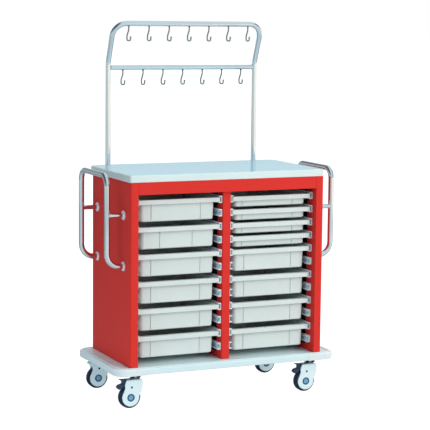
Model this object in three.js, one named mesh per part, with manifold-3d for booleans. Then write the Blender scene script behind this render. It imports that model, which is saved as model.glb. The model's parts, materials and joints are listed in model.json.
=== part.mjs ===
// Instrument cart: an open-fronted two-bay cabinet on swivel casters, with slide-out trays, a push handle
// on each side and a tubular hanger frame with swivelling hooks.
// Millimetres, +Z up. The front of the cart faces -Y, and the origin is on the floor at the middle of the
// cart's bounding box.

import * as THREE from 'three';
import { mergeVertices } from 'three/addons/utils/BufferGeometryUtils.js';
import Module from 'manifold-3d';

const wasm = await Module();
wasm.setup();

// ---------------------------------------------------------------- driving dimensions

const GAP = 0.3; // clearance between neighbouring pieces
const SHEET = 1.5; // folded steel sheet
const CLEAR = 5; // how far a cutting tool runs past what it cuts

// Depths (Y) are measured from the front face of the cabinet while the cart is built.
const CABINET_WIDTH = 950;
const CABINET_DEPTH = 483;
const CABINET_HEIGHT = 821;
const POST_WIDTH = 38; // front face of a side panel, and the thickness of that panel
const CABINET_CORNER = 10;
const DIVIDER_WIDTH = 39;
const HEADER_HEIGHT = 55;
const HEADER_DEPTH = 28;
const BACK_FLANGE = 20;
const DIVIDER_CORNER = 2;

const WORKTOP = { width: 954, front: 1, back: 529, thickness: 31, frontCorner: 10, backCorner: 45 };
const BASE = { width: 1090, front: -24, back: 506, thickness: 30, corner: 60 };
const BUMPER = { thickness: 12, proud: 1.5, alongFront: 145, alongSide: 130, belowDeck: 0.5 };

const WHEEL = { radius: 50, width: 30, bore: 7, axle: 6, chamfer: 7 };
const CASTER = { x: 436, frontY: 42, backY: 455, trail: 26, height: 156, width: 46, slot: 33 };
const HOUSING = { top: 79, front: 57, roofStart: -8, cover: 40, hood: 52.5 };
const HEELS = {
  braked: [[-20, 78], [-27, 58], [-26, 42]],
  plain: [[-34, 76], [-42, 70], [-40, 64], [-29, 57], [-26, 42]],
};
const CASTER_PLATE = { size: 76, thickness: 4, corner: 8, bearing: 22 };
const PEDAL = { pivotX: -15, pivotZ: 71, pin: 3, bore: 3.6, width: 26 };

const LEVELS = 12;
const LEVEL_PITCH = 60.9;
const TOP_LEVEL = 738.3; // rim of the highest tray above the base
const RUNNER = { front: 35, back: 455, reach: 15, web: 4, lip: 5, headroom: 2 };
const LINER = { front: 86, thickness: 1.2, above: 20, below: 40 };

const TRAY = { width: 398, front: 33, depth: 420, rim: 20, rimCorner: 8, bodyCorner: 16, wall: 3 };
const TRAY_BODY_INSET = 20;
const TRAY_FRONT_INSET = 22;
const DEEP = 100;
const SHALLOW = 50;

const HANDLE = { reach: 80, frontY: 79, backY: 406, topZ: 846, stubZ: 671, footZ: 444 };
const HANDLE_TUBE = { radius: 12.5, topBend: 47, footBend: 60, stub: 10, flange: 21, flangeThickness: 5 };

const HANGER = { x: 376, y: 542, foot: 560, kneeZ: 1326, lean: 22, topZ: 1506, barZ: 1300.7 };
const HANGER_TUBE = { radius: 12, bar: 11, knee: 70, corner: 65 };
const HANGER_BRACKET = { width: 24, height: 34, heights: [600, 780] };
const HOOK = { count: 7, pitch: 101, wire: 3.3, collar: 4, collarDrop: 4, width: 16, drop: 64 };

const FLOOR_TO_DECK = CASTER.height + BASE.thickness; // top of the base above the floor
const BAY_WIDTH = (CABINET_WIDTH - 2 * POST_WIDTH - DIVIDER_WIDTH) / 2;
const BAY_CENTRE = (BAY_WIDTH + DIVIDER_WIDTH) / 2;

// ---------------------------------------------------------------- materials

function material(color, roughness, metalness = 0) {
  return new THREE.MeshStandardMaterial({ color, roughness, metalness });
}

const RED_PAINT = material(0xd63a31, 0.45);
const WORKTOP_PLASTIC = material(0xc3dfe8, 0.2);
const BASE_PLASTIC = material(0xcde4e6, 0.5);
const BUMPER_PLASTIC = material(0xd2dadd, 0.55);
const TRAY_PLASTIC = material(0xd5dddd, 0.5);
const RUNNER_PLASTIC = material(0xcfe2ea, 0.4);
const CHROME = material(0xdfe6ea, 0.12, 1);
const CASTER_PLASTIC = material(0xd5e9f0, 0.45);
const TYRE_RUBBER = material(0x1e2841, 0.7);
const PEDAL_PLASTIC = material(0x24364f, 0.6);
const MOUNT_STEEL = material(0xa9b4ba, 0.35, 0.9);

// ---------------------------------------------------------------- geometry helpers

const X = new THREE.Vector3(1, 0, 0);
const Y = new THREE.Vector3(0, 1, 0);
const Z = new THREE.Vector3(0, 0, 1);
const TURNS = {
  x: new THREE.Matrix4().makeBasis(Y, Z, X),
  y: new THREE.Matrix4().makeBasis(X, Z, Y.clone().negate()),
  z: new THREE.Matrix4(),
};

// A shape pushed along an axis: its own two axes are (Y, Z), (X, Z) or (X, Y).
function prism(shape, axis, from, to, curveSegments = 2) {
  const options = { depth: to - from, bevelEnabled: false, steps: 1, curveSegments };
  const geometry = new THREE.ExtrudeGeometry(shape, options);
  geometry.applyMatrix4(TURNS[axis]);
  const start = { x: [from, 0, 0], y: [0, to, 0], z: [0, 0, from] }[axis];
  return geometry.translate(...start);
}

function box([x0, x1], [y0, y1], [z0, z1]) {
  const geometry = new THREE.BoxGeometry(Math.abs(x1 - x0), Math.abs(y1 - y0), Math.abs(z1 - z0));
  return geometry.translate((x0 + x1) / 2, (y0 + y1) / 2, (z0 + z1) / 2);
}

function rod(radius, axis, from, to, sides = 8) {
  const circle = new THREE.Shape();
  circle.absarc(0, 0, radius, 0, 2 * Math.PI);
  return prism(circle, axis, from, to, sides / 2);
}

function polygon(points) {
  return new THREE.Shape(points.map(([a, b]) => new THREE.Vector2(a, b)));
}

// A rectangle whose corners are rounded, given anticlockwise from the one at (x0, y0).
function roundedRectangle([x0, x1], [y0, y1], radii, Kind = THREE.Shape) {
  const corners = [[x0, y0, 1, 1, 2], [x1, y0, -1, 1, 3], [x1, y1, -1, -1, 0], [x0, y1, 1, -1, 1]];
  const outline = new Kind();
  corners.forEach(([x, y, inX, inY, quarter], i) => {
    const r = radii[i];
    const start = (quarter * Math.PI) / 2;
    if (r > 0) {
      outline.absarc(x + inX * r, y + inY * r, r, start, start + Math.PI / 2);
    } else if (i === 0) {
      outline.moveTo(x, y);
    } else {
      outline.lineTo(x, y);
    }
  });
  outline.closePath();
  return outline;
}

function toSolid(geometry) {
  const bare = geometry.clone();
  bare.deleteAttribute('normal');
  bare.deleteAttribute('uv');
  const merged = mergeVertices(bare);
  const vertProperties = merged.attributes.position.array;
  const triVerts = new Uint32Array(merged.index.array);
  return new wasm.Manifold(new wasm.Mesh({ numProp: 3, vertProperties, triVerts }));
}

function toGeometry(manifold) {
  const { vertProperties, triVerts } = manifold.getMesh();
  const geometry = new THREE.BufferGeometry();
  geometry.setAttribute('position', new THREE.BufferAttribute(vertProperties, 3));
  geometry.setIndex(new THREE.BufferAttribute(triVerts, 1));
  geometry.computeVertexNormals();
  return geometry;
}

function join(...geometries) {
  const [first, ...rest] = geometries.map(toSolid);
  return toGeometry(rest.reduce((whole, piece) => whole.add(piece), first));
}

function cut(geometry, ...tools) {
  return toGeometry(tools.map(toSolid).reduce((rest, tool) => rest.subtract(tool), toSolid(geometry)));
}

function overlap(a, b) {
  return toGeometry(toSolid(a).intersect(toSolid(b)));
}

// A path through given points, stepped from point to point rather than by equal lengths.
class JointedPath extends THREE.Curve {
  constructor(points) {
    super();
    this.points = points;
  }

  getPoint(t, target = new THREE.Vector3()) {
    const place = t * (this.points.length - 1);
    const i = Math.min(Math.floor(place), this.points.length - 2);
    return target.lerpVectors(this.points[i], this.points[i + 1], place - i);
  }

  getUtoTmapping(u) {
    return u;
  }
}

// The points of a bent tube: straight runs between corners, with an arc of the given radius at each bend.
function bentPoints(corners, radii, stepsPerBend) {
  const at = corners.map((corner) => new THREE.Vector3(...corner));
  const points = [at[0]];
  for (let i = 1; i < at.length - 1; i += 1) {
    const back = at[i - 1].clone().sub(at[i]).normalize();
    const on = at[i + 1].clone().sub(at[i]).normalize();
    const halfAngle = back.angleTo(on) / 2;
    const toCentre = back.clone().add(on).normalize().multiplyScalar(radii[i - 1] / Math.sin(halfAngle));
    const centre = at[i].clone().add(toCentre);
    const spoke = at[i].clone().addScaledVector(back, radii[i - 1] / Math.tan(halfAngle)).sub(centre);
    const axis = on.clone().cross(back).normalize().negate();
    const sweep = Math.PI - 2 * halfAngle;
    for (let step = 0; step <= stepsPerBend; step += 1) {
      const angle = (sweep * step) / stepsPerBend;
      points.push(centre.clone().add(spoke.clone().applyAxisAngle(axis, -angle)));
    }
  }
  points.push(at[at.length - 1]);
  return points;
}

function bentTube(corners, radii, tubeRadius, stepsPerBend = 4, sides = 8) {
  const path = new JointedPath(bentPoints(corners, radii, stepsPerBend));
  const circle = new THREE.Shape();
  circle.absarc(0, 0, tubeRadius, 0, 2 * Math.PI);
  const options = { steps: path.points.length - 1, extrudePath: path, curveSegments: sides / 2 };
  return new THREE.ExtrudeGeometry(circle, options);
}

function named(name, geometry, look, [x, y, z] = [0, 0, 0], turnZ = 0) {
  const mesh = new THREE.Mesh(geometry, look);
  mesh.name = name;
  mesh.position.set(x, y, z);
  mesh.rotation.z = turnZ;
  return mesh;
}

// ---------------------------------------------------------------- cabinet (heights above the deck)

const CABINET_Z = [GAP, CABINET_HEIGHT - GAP];

// A double-skinned side panel: a rectangular tube of folded sheet standing on end.
function sidePanel(side) {
  const xs = [side * (CABINET_WIDTH / 2), side * (CABINET_WIDTH / 2 - POST_WIDTH)].sort((a, b) => a - b);
  const outer = CABINET_CORNER;
  const inner = outer - SHEET;
  const left = side < 0;
  const outerRadii = left ? [outer, 0, 0, outer] : [0, outer, outer, 0];
  const innerRadii = left ? [inner, 0, 0, inner] : [0, inner, inner, 0];
  const outline = roundedRectangle(xs, [0, CABINET_DEPTH], outerRadii);
  const hollowXs = [xs[0] + SHEET, xs[1] - SHEET];
  const hollow = roundedRectangle(hollowXs, [SHEET, CABINET_DEPTH - SHEET], innerRadii, THREE.Path);
  outline.holes.push(hollow);
  return prism(outline, 'z', ...CABINET_Z);
}

function backPanel() {
  const half = CABINET_WIDTH / 2 - POST_WIDTH - GAP;
  const back = CABINET_DEPTH;
  const flange = back - BACK_FLANGE;
  const outline = polygon([
    [-half, flange], [-half + SHEET, flange], [-half + SHEET, back - SHEET], [half - SHEET, back - SHEET],
    [half - SHEET, flange], [half, flange], [half, back], [-half, back],
  ]);
  return prism(outline, 'z', ...CABINET_Z);
}

function centreDivider() {
  const half = DIVIDER_WIDTH / 2;
  const ys = [HEADER_DEPTH, CABINET_DEPTH - SHEET - GAP];
  const outline = roundedRectangle([-half, half], ys, [DIVIDER_CORNER, DIVIDER_CORNER, 0, 0]);
  const hollowXs = [SHEET - half, half - SHEET];
  const hollow = roundedRectangle(hollowXs, [ys[0] + SHEET, ys[1] - SHEET], [0, 0, 0, 0], THREE.Path);
  outline.holes.push(hollow);
  return prism(outline, 'z', ...CABINET_Z, 1);
}

// The rail over the bays is a channel open to the back.
function frontHeader() {
  const half = CABINET_WIDTH / 2 - POST_WIDTH - GAP;
  const top = CABINET_Z[1];
  const bottom = CABINET_HEIGHT - HEADER_HEIGHT;
  const back = HEADER_DEPTH - GAP;
  const outline = polygon([
    [0, bottom], [back, bottom], [back, bottom + SHEET], [SHEET, bottom + SHEET],
    [SHEET, top - SHEET], [back, top - SHEET], [back, top], [0, top],
  ]);
  return prism(outline, 'x', -half, half);
}

function worktop() {
  const half = WORKTOP.width / 2;
  const { frontCorner, backCorner } = WORKTOP;
  const radii = [frontCorner, frontCorner, backCorner, backCorner];
  const outline = roundedRectangle([-half, half], [WORKTOP.front, WORKTOP.back], radii);
  return prism(outline, 'z', CABINET_HEIGHT, CABINET_HEIGHT + WORKTOP.thickness, 3);
}

// ---------------------------------------------------------------- base and corner bumpers

// The outline of the base with its bumpers, drawn in by a margin.
function deckPrism(inset, bottom, top) {
  const half = BASE.width / 2 - inset;
  const radii = Array(4).fill(BASE.corner - inset);
  const outline = roundedRectangle([-half, half], [BASE.front + inset, BASE.back - inset], radii);
  return prism(outline, 'z', bottom, top, 3);
}

function cornerBlock(sideX, sideY, grow) {
  const half = BASE.width / 2;
  const xs = [sideX * (half - BUMPER.alongFront - grow), sideX * (half + CLEAR)];
  const ys = sideY < 0
    ? [BASE.front - CLEAR, BASE.front + BUMPER.alongSide + grow]
    : [BASE.back - BUMPER.alongSide - grow, BASE.back + CLEAR];
  return box(xs, ys, [-BASE.thickness - 2 * CLEAR, 2 * CLEAR]);
}

function bumper(sideX, sideY) {
  const bottom = -BASE.thickness - BUMPER.proud;
  const top = -BUMPER.belowDeck;
  const ring = cut(deckPrism(0, bottom, top), deckPrism(BUMPER.thickness, bottom - CLEAR, top + CLEAR));
  return overlap(ring, cornerBlock(sideX, sideY, 0));
}

function basePlate() {
  const slab = deckPrism(BUMPER.proud, -BASE.thickness, 0);
  const seat = BUMPER.thickness + GAP;
  const bottom = -BASE.thickness - CLEAR;
  const ring = cut(deckPrism(-CLEAR, bottom, CLEAR), deckPrism(seat, bottom - 1, CLEAR + 1));
  const corners = [[-1, -1], [1, -1], [1, 1], [-1, 1]];
  const rebates = corners.map(([x, y]) => overlap(ring, cornerBlock(x, y, GAP)));
  return cut(slab, ...rebates);
}

// ---------------------------------------------------------------- trays and runners

function levelHeight(level) {
  return TOP_LEVEL - level * LEVEL_PITCH;
}

// A tray hangs by its rim. Its own origin is at the middle of the rim's front edge, at the rim's top.
function tray(height) {
  const half = TRAY.width / 2;
  const bodyHalf = half - TRAY_BODY_INSET;
  const bodyYs = [TRAY_FRONT_INSET, TRAY.depth - TRAY_BODY_INSET];
  const rimRadii = Array(4).fill(TRAY.rimCorner);
  const bodyRadii = Array(4).fill(TRAY.bodyCorner);
  const hollowRadii = Array(4).fill(TRAY.bodyCorner - TRAY.wall);
  const rim = prism(roundedRectangle([-half, half], [0, TRAY.depth], rimRadii), 'z', -TRAY.rim, 0, 1);
  const body = prism(roundedRectangle([-bodyHalf, bodyHalf], bodyYs, bodyRadii), 'z', -height, -1, 1);
  const hollowHalf = bodyHalf - TRAY.wall;
  const hollowYs = [bodyYs[0] + TRAY.wall, bodyYs[1] - TRAY.wall];
  const hollow = roundedRectangle([-hollowHalf, hollowHalf], hollowYs, hollowRadii);
  return cut(join(rim, body), prism(hollow, 'z', TRAY.wall - height, CLEAR, 1));
}

// Twelve channel runners on one lining sheet, fixed to the wall at x = 0 and reaching towards +X or -X.
function runnerRack(into) {
  const from = GAP * into;
  const reach = (GAP + RUNNER.reach) * into;
  const web = (GAP + RUNNER.web) * into;
  const channels = [];
  for (let level = 0; level < LEVELS; level += 1) {
    const shelf = levelHeight(level) - TRAY.rim - GAP;
    const ceiling = levelHeight(level) + RUNNER.headroom;
    const outline = polygon([
      [from, shelf - RUNNER.lip], [reach, shelf - RUNNER.lip], [reach, shelf], [web, shelf],
      [web, ceiling], [reach, ceiling], [reach, ceiling + RUNNER.lip], [from, ceiling + RUNNER.lip],
    ]);
    channels.push(prism(outline, 'y', RUNNER.front, RUNNER.back));
  }
  const heights = [levelHeight(LEVELS - 1) - LINER.below, levelHeight(0) + LINER.above];
  const liner = box([from, from + LINER.thickness * into], [LINER.front, RUNNER.back], heights);
  return join(liner, ...channels);
}

// ---------------------------------------------------------------- side handles

// One bent tube held off the panel by two feet and two stubs, each welded to a round flange.
function handle(side) {
  const panel = side * (CABINET_WIDTH / 2 + GAP);
  const plane = side * (CABINET_WIDTH / 2 + HANDLE.reach);
  const { frontY, backY, topZ, footZ, stubZ } = HANDLE;
  const { radius, topBend, footBend, stub, flange, flangeThickness } = HANDLE_TUBE;
  const start = panel + side;
  const tube = bentTube(
    [
      [start, frontY, footZ], [plane, frontY, footZ], [plane, frontY, topZ],
      [plane, backY, topZ], [plane, backY, footZ], [start, backY, footZ],
    ],
    [footBend, topBend, topBend, footBend],
    radius,
  );
  const pieces = [];
  for (const y of [frontY, backY]) {
    const stubEnds = [start, plane].sort((a, b) => a - b);
    pieces.push(rod(stub, 'x', ...stubEnds).translate(0, y, stubZ));
    const flangeEnds = [panel, panel + side * flangeThickness].sort((a, b) => a - b);
    for (const z of [footZ, stubZ]) {
      pieces.push(rod(flange, 'x', ...flangeEnds, 12).translate(0, y, z));
    }
  }
  return join(tube, ...pieces);
}

// ---------------------------------------------------------------- hanger frame and hooks

const LEAN = THREE.MathUtils.degToRad(HANGER.lean);
const TOP_BAR_Y = HANGER.y - (HANGER.topZ - HANGER.kneeZ) * Math.tan(LEAN);

function hookXs() {
  return Array.from({ length: HOOK.count }, (_, i) => (i - (HOOK.count - 1) / 2) * HOOK.pitch);
}

const HOOK_BARS = [
  { name: 'upper', y: TOP_BAR_Y, z: HANGER.topZ - HANGER_TUBE.radius },
  { name: 'lower', y: HANGER.y, z: HANGER.barZ - HANGER_TUBE.bar },
];

function hangerFrame() {
  const { x, y, foot, kneeZ, topZ, barZ } = HANGER;
  const { radius, bar, knee, corner } = HANGER_TUBE;
  const hoop = bentTube(
    [
      [-x, y, foot], [-x, y, kneeZ], [-x, TOP_BAR_Y, topZ],
      [x, TOP_BAR_Y, topZ], [x, y, kneeZ], [x, y, foot],
    ],
    [knee, corner, corner, knee],
    radius,
  );
  const pieces = [rod(bar, 'x', -x, x).translate(0, y, barZ)];
  for (const side of [-1, 1]) {
    for (const z of HANGER_BRACKET.heights) {
      const xs = [side * x - HANGER_BRACKET.width / 2, side * x + HANGER_BRACKET.width / 2];
      pieces.push(box(xs, [CABINET_DEPTH + GAP, y], [z, z + HANGER_BRACKET.height]));
    }
  }
  for (const hookBar of HOOK_BARS) {
    for (const hookX of hookXs()) {
      const collar = rod(HOOK.collar, 'z', -HOOK.collarDrop, 3, 6);
      pieces.push(collar.translate(hookX, hookBar.y, hookBar.z));
    }
  }
  return join(hoop, ...pieces);
}

// A wire hook that hangs below its collar: stem, shoulder, crook and tip, with the stem on the swivel axis.
function hook() {
  const half = HOOK.width / 2;
  return bentTube(
    [
      [0, 0, 0], [0, 0, -15], [-half, 0, -42], [-half, 0, -HOOK.drop],
      [half, 0, -HOOK.drop], [half + 1, 0, -44],
    ],
    [7, 9, half - 0.1, half - 0.8],
    HOOK.wire,
    2,
    6,
  );
}

// Each hook has been left turned a little differently.
function hookTurn(index) {
  return THREE.MathUtils.degToRad(-12 + 14 * Math.sin(index * 2.3));
}

// ---------------------------------------------------------------- casters (heights from the wheel centre)

const AXLE_TO_TOP = CASTER.height - WHEEL.radius; // wheel centre to the underside of the base

function casterMount() {
  const { size, thickness, corner, bearing } = CASTER_PLATE;
  const top = AXLE_TO_TOP - GAP;
  const sides = [-size / 2, size / 2];
  const outline = roundedRectangle(sides, sides, Array(4).fill(corner));
  const plate = prism(outline, 'z', top - thickness, top, 1);
  return join(plate, rod(bearing, 'z', HOUSING.top + GAP, top - 1, 16));
}

// The outline shared by both side covers, anticlockwise from the top: the heel, a disc over the wheel, and
// the upright front of the hood. A caster with no pedal has a roof that runs back over the wheel.
function housingOutline(heel) {
  const { top, front, roofStart, cover } = HOUSING;
  const outline = new THREE.Shape();
  outline.moveTo(roofStart, top);
  heel.forEach(([x, z]) => outline.lineTo(x, z));
  outline.absarc(0, 0, cover, THREE.MathUtils.degToRad(145), THREE.MathUtils.degToRad(365));
  outline.lineTo(front - 2, 38);
  outline.lineTo(front, top - 8);
  outline.lineTo(front - 8, top);
  outline.closePath();
  return outline;
}

function swivelHousing(hasBrake) {
  const half = CASTER.width / 2;
  const slot = CASTER.slot / 2;
  const heel = hasBrake ? HEELS.braked : HEELS.plain;
  const shell = prism(housingOutline(heel), 'y', -half, half, 5);
  const wheelSpace = rod(HOUSING.hood, 'y', -slot, slot, 20);
  const openUnder = box([-60, 60], [-slot, slot], [-60, 0]);
  const tools = [wheelSpace, openUnder];
  const pieces = [rod(WHEEL.axle, 'y', -slot - 1, slot + 1, 12)];
  if (hasBrake) {
    tools.push(box([-90, HOUSING.roofStart], [-slot, slot], [-CLEAR, 90]));
    pieces.push(rod(PEDAL.pin, 'y', -slot - 1, slot + 1, 8).translate(PEDAL.pivotX, 0, PEDAL.pivotZ));
  }
  return join(cut(shell, ...tools), ...pieces);
}

function wheel() {
  const { radius, width, bore, chamfer } = WHEEL;
  const half = width / 2;
  const profile = [
    [bore, -half], [radius - chamfer, -half], [radius, -half + chamfer],
    [radius, half - chamfer], [radius - chamfer, half], [bore, half], [bore, -half],
  ];
  return new THREE.LatheGeometry(profile.map(([r, y]) => new THREE.Vector2(r, y)), 28);
}

// The pedal is a lever with an upper release tab and a lower foot pad. The outline starts over the pivot
// and runs along the top of the tab, back under it, round the pad and up the other side of the pivot.
function brakePedal() {
  const outline = polygon([
    [-8, 71], [-10, 78], [-20, 80], [-46, 82], [-47, 79], [-34, 75],
    [-34, 61], [-53, 56], [-60, 46], [-52, 37], [-36, 42], [-27, 52], [-20, 64], [-12, 66],
  ]);
  const bore = new THREE.Path();
  bore.absarc(PEDAL.pivotX, PEDAL.pivotZ, PEDAL.bore, 0, 2 * Math.PI);
  outline.holes.push(bore);
  return prism(outline, 'y', -PEDAL.width / 2, PEDAL.width / 2, 4);
}

function caster(place, x, y, hasBrake) {
  const group = new THREE.Group();
  group.position.set(x, y, WHEEL.radius);
  group.add(named(`caster_mount_${place}`, casterMount(), MOUNT_STEEL));
  const fork = new THREE.Group();
  fork.position.x = -CASTER.trail;
  fork.add(named(`swivel_housing_${place}`, swivelHousing(hasBrake), CASTER_PLASTIC));
  fork.add(named(`wheel_${place}`, wheel(), TYRE_RUBBER));
  if (hasBrake) {
    fork.add(named(`brake_pedal_${place}`, brakePedal(), PEDAL_PLASTIC));
  }
  group.add(fork);
  return group;
}

// ---------------------------------------------------------------- assembly

function cabinet() {
  const group = new THREE.Group();
  group.add(named('left_side_panel', sidePanel(-1), RED_PAINT));
  group.add(named('right_side_panel', sidePanel(1), RED_PAINT));
  group.add(named('back_panel', backPanel(), RED_PAINT));
  group.add(named('centre_divider', centreDivider(), RED_PAINT));
  group.add(named('front_header', frontHeader(), RED_PAINT));
  group.add(named('worktop', worktop(), WORKTOP_PLASTIC));
  return group;
}

function deck() {
  const group = new THREE.Group();
  group.add(named('base_plate', basePlate(), BASE_PLASTIC));
  group.add(named('bumper_front_left', bumper(-1, -1), BUMPER_PLASTIC));
  group.add(named('bumper_front_right', bumper(1, -1), BUMPER_PLASTIC));
  group.add(named('bumper_back_left', bumper(-1, 1), BUMPER_PLASTIC));
  group.add(named('bumper_back_right', bumper(1, 1), BUMPER_PLASTIC));
  return group;
}

function trays() {
  const group = new THREE.Group();
  const stacks = [
    { bay: 'left', x: -BAY_CENTRE, rows: [0, 2, 4, 6, 8, 10].map((level) => [level, DEEP]) },
    {
      bay: 'right',
      x: BAY_CENTRE,
      rows: [
        ...[0, 1, 2, 3].map((level) => [level, SHALLOW]),
        ...[4, 6, 8, 10].map((level) => [level, DEEP]),
      ],
    },
  ];
  for (const { bay, x, rows } of stacks) {
    rows.forEach(([level, height], i) => {
      const place = [x, TRAY.front, levelHeight(level)];
      group.add(named(`tray_${bay}_${i + 1}`, tray(height), TRAY_PLASTIC, place));
    });
  }
  return group;
}

function runners() {
  const group = new THREE.Group();
  const wall = CABINET_WIDTH / 2 - POST_WIDTH;
  const partition = DIVIDER_WIDTH / 2;
  group.add(named('runner_rack_left_outer', runnerRack(1), RUNNER_PLASTIC, [-wall, 0, 0]));
  group.add(named('runner_rack_left_inner', runnerRack(-1), RUNNER_PLASTIC, [-partition, 0, 0]));
  group.add(named('runner_rack_right_inner', runnerRack(1), RUNNER_PLASTIC, [partition, 0, 0]));
  group.add(named('runner_rack_right_outer', runnerRack(-1), RUNNER_PLASTIC, [wall, 0, 0]));
  return group;
}

function hanger() {
  const group = new THREE.Group();
  group.add(named('hanger_frame', hangerFrame(), CHROME));
  HOOK_BARS.forEach(({ name, y, z }, row) => {
    hookXs().forEach((x, i) => {
      const top = z - HOOK.collarDrop - GAP;
      group.add(named(`hook_${name}_${i + 1}`, hook(), CHROME, [x, y, top], hookTurn(i + 8 * row)));
    });
  });
  return group;
}

const upperworks = new THREE.Group();
upperworks.position.z = FLOOR_TO_DECK;
upperworks.add(cabinet(), deck(), trays(), runners(), hanger());
upperworks.add(named('handle_left', handle(-1), CHROME), named('handle_right', handle(1), CHROME));

const cart = new THREE.Group();
cart.position.y = -(BASE.front + HANGER.y + HANGER_TUBE.radius) / 2;
cart.add(upperworks);
cart.add(caster('front_left', -CASTER.x, CASTER.frontY, true));
cart.add(caster('front_right', CASTER.x, CASTER.frontY, true));
cart.add(caster('back_left', -CASTER.x, CASTER.backY, false));
cart.add(caster('back_right', CASTER.x, CASTER.backY, false));

export default cart;
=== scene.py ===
"""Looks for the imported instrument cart: detailed pieces, materials, studio light and the camera.

Lengths in the piece functions are millimetres in the cart's own frame; put() turns them into metres.
The front of the cart faces -Y and the floor is at z = 0."""

import json
import math

import bmesh
import bpy
from mathutils import Matrix, Quaternion, Vector

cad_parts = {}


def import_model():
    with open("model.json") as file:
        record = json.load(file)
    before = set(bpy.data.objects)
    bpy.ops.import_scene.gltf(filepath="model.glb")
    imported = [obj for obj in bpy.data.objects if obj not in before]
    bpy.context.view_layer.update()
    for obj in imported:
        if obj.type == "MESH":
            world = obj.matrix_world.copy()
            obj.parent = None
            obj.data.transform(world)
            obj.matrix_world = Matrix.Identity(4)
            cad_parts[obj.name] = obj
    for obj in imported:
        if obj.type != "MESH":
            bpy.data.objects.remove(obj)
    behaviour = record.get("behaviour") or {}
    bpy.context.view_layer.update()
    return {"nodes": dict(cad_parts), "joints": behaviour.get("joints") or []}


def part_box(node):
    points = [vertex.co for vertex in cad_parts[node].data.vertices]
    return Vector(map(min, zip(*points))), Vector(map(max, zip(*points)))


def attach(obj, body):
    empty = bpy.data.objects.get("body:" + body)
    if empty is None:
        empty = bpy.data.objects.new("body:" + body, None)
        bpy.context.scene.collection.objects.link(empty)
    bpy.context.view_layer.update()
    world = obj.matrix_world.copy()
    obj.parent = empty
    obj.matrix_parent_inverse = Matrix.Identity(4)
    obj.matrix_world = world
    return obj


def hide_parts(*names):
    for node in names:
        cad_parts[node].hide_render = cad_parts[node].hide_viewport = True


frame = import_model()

PLACES = ("front_left", "front_right", "back_left", "back_right")
JOINTS = {joint["name"]: joint for joint in frame["joints"]}


# ---------------------------------------------------------------- places taken from the CAD


def box(node):
    """The low and high corners of a CAD node."""
    low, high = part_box(node)
    return low * 1000, high * 1000


def joint_place(name):
    """Where a joint sits at rest."""
    return Vector(JOINTS[name]["pos_m"]) * 1000


# ---------------------------------------------------------------- mesh helpers


def arc(centre, radius, start, end, steps=6):
    """Points along an arc, with its angles in degrees."""
    angles = [math.radians(start + (end - start) * i / steps) for i in range(steps + 1)]
    return [(centre[0] + radius * math.cos(a), centre[1] + radius * math.sin(a)) for a in angles]


def circle(radius, steps):
    """Points round a circle about the origin."""
    return arc((0, 0), radius, 0, 360 * (steps - 1) / steps, steps - 1)


def rounded(xs, ys, radii, inset=0, steps=6):
    """The outline of a rectangle drawn in by inset, anticlockwise from its low corner."""
    (x0, x1), (y0, y1) = xs, ys
    corners = [(x0, y0, 1, 1, 180), (x1, y0, -1, 1, 270), (x1, y1, -1, -1, 0), (x0, y1, 1, -1, 90)]
    points = []
    for (x, y, in_x, in_y, start), radius in zip(corners, radii):
        r = max(radius - inset, 0.01)
        points += arc((x + in_x * (r + inset), y + in_y * (r + inset)), r, start, start + 90, steps)
    return points


def plan(low, high, radii, steps=6):
    """The plan of a box with rounded corners, as a function of its inset."""
    return lambda inset: rounded((low.x, high.x), (low.y, high.y), radii, inset, steps)


def loft(bm, rings, start=True, end=True):
    """A skin over rings of points that all have the same count, capped at either end."""
    rows = [[bm.verts.new(point) for point in ring] for ring in rings]
    count = len(rows[0])
    for a, b in zip(rows, rows[1:]):
        for i in range(count):
            j = (i + 1) % count
            bm.faces.new((a[i], a[j], b[j], b[i]))
    if start:
        bm.faces.new(rows[0][::-1])
    if end:
        bm.faces.new(rows[-1])
    return rows


def upright(bm, outline, bottom, top, bottom_round=0.6, top_round=0.6, steps=3):
    """A standing block with rounded bottom and top edges; outline(inset) is its plan."""
    turns = [math.pi / 2 * i / steps for i in range(steps + 1)]
    profile = [
        (bottom_round * (1 - math.sin(a)), bottom + bottom_round * (1 - math.cos(a))) for a in turns
    ]
    profile += [(top_round * (1 - math.cos(a)), top - top_round * (1 - math.sin(a))) for a in turns]
    loft(bm, [[(x, y, z) for x, y in outline(inset)] for inset, z in profile])


def prism(bm, outline, axis, start, end):
    """An outline pushed along an axis; its own axes are the other two, in order."""
    turn = {
        "x": lambda a, b, c: (c, a, b),
        "y": lambda a, b, c: (a, c, b),
        "z": lambda a, b, c: (a, b, c),
    }[axis]
    return loft(bm, [[turn(a, b, c) for a, b in outline] for c in (start, end)])


def block(bm, xs, ys, zs):
    prism(bm, [(xs[0], ys[0]), (xs[1], ys[0]), (xs[1], ys[1]), (xs[0], ys[1])], "z", *zs)


def lathe(bm, profile, axis, centre, steps=32):
    """Turns (radius, along) points about an axis through centre; a closed profile makes a ring."""
    x, y, z = Vector((1, 0, 0)), Vector((0, 1, 0)), Vector((0, 0, 1))
    u, v, w = {"x": (y, z, x), "y": (z, x, y), "z": (x, y, z)}[axis]
    rings = []
    for radius, along in profile:
        spokes = circle(max(radius, 0.001), steps)
        rings.append([Vector(centre) + u * a + v * b + w * along for a, b in spokes])
    ring = profile[0] == profile[-1]
    loft(bm, rings, start=not ring, end=not ring)


def facing(profile, side):
    """A lathe profile, mirrored along its axis where side is -1."""
    return [(radius, side * along) for radius, along in profile]


def dome(bm, centre, axis, radius, height):
    """A low domed screw or rivet head, standing off centre along the axis."""
    profile = [(radius, 0), (radius, height * 0.35), (radius * 0.8, height * 0.8)]
    profile += [(radius * 0.4, height), (0, height)]
    lathe(bm, profile, axis, centre, 14)


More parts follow.
